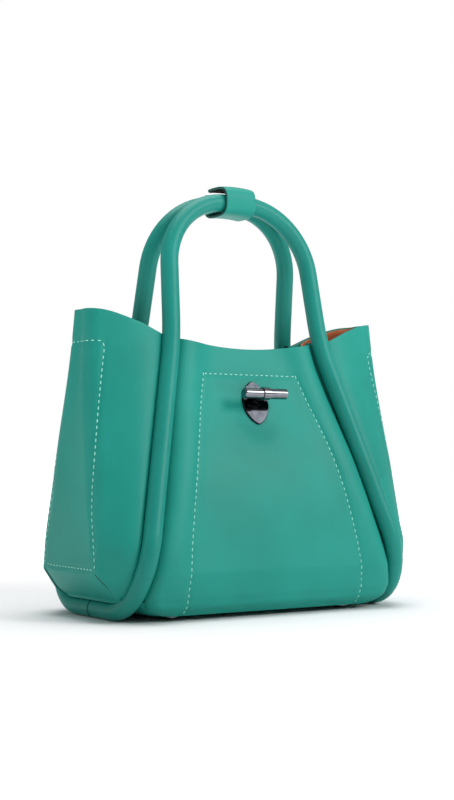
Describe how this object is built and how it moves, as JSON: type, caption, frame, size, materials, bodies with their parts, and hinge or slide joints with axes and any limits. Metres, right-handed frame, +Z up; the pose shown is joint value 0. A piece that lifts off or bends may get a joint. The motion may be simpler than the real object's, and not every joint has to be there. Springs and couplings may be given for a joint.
{
  "type": "bucket bag",
  "caption": "Small two-handled leather bucket bag with slanted tube handles that run under its base, a turn lock, side rings and an inner leash with a snap hook.",
  "frame": {"origin": "on the floor under the middle of the bag", "axes": "+X along the bag, -Y towards the face with the turn lock, +Z up"},
  "size_m": [0.231, 0.118, 0.2702],
  "materials": {
    "leather_green": "smooth calf, satin",
    "suede": "brushed suede",
    "black_leather": "matt",
    "steel": "polished",
    "board": "matt",
    "cotton": "twisted cord and waxed thread"
  },
  "bodies": {
    "root": {"front_panel": "leather_green", "back_panel": "leather_green", "left_side_panel": "leather_green", "right_side_panel": "leather_green", "base_panel": "leather_green", "base_board": "board", "base_feet": "steel", "lining": "suede", "inner_pocket": "suede", "front_handle_cover": "leather_green", "back_handle_cover": "leather_green", "front_handle_core": "cotton", "back_handle_core": "cotton", "handle_wrap": "leather_green", "wrap_lining": "black_leather", "lock_plate": "steel", "lock_boss": "steel", "lock_backplate": "steel", "lock_screws": "steel", "closure_anchor": "leather_green", "left_ring_tab": "leather_green", "right_ring_tab": "leather_green", "leash_tab": "leather_green"},
    "lock_turn_bar": {"lock_bar": "steel", "lock_clip": "steel"},
    "closure": {"closure_strap": "leather_green", "closure_eyelet": "steel"},
    "left_loop": {"left_ring": "steel"},
    "right_loop": {"right_ring": "steel"},
    "leash": {"leash_ring": "steel", "leash_strap": "leather_green", "hook_eye": "steel"},
    "snap_hook": {"hook_body": "steel", "hook_pin": "steel"},
    "gate": {"hook_gate": "steel"}
  },
  "joints": [
    {"name": "lock_turn", "type": "hinge", "parent": "root", "child": "lock_turn_bar", "pos_m": [0, -0.02777, 0.13191], "axis": [0, -0.9536, 0.3011], "range_deg": [0, 90]},
    {"name": "closure_swing", "type": "hinge", "parent": "root", "child": "closure", "pos_m": [0, 0.0129, 0.151], "axis": [-1, 0, 0], "range_deg": [0, 15]},
    {"name": "left_ring_swing", "type": "hinge", "parent": "root", "child": "left_loop", "pos_m": [-0.104, 0, 0.181], "axis": [0, -1, 0], "range_deg": [0, 170]},
    {"name": "right_ring_swing", "type": "hinge", "parent": "root", "child": "right_loop", "pos_m": [0.104, 0, 0.181], "axis": [0, 1, 0], "range_deg": [0, 170]},
    {"name": "leash_swing", "type": "hinge", "parent": "root", "child": "leash", "pos_m": [-0.1, 0, 0.154], "axis": [0, -1, 0], "range_deg": [0, 120]},
    {"name": "hook_swivel", "type": "hinge", "parent": "leash", "child": "snap_hook", "pos_m": [-0.1, 0, 0.0945], "axis": [0, 0, 1], "continuous": true},
    {"name": "gate_press", "type": "hinge", "parent": "snap_hook", "child": "gate", "pos_m": [-0.1, 0.0055, 0.0836], "axis": [-1, 0, 0], "range_deg": [0, 25], "stiffness_Nm_per_rad": 0.003, "springref_deg": -17.19}
  ]
}
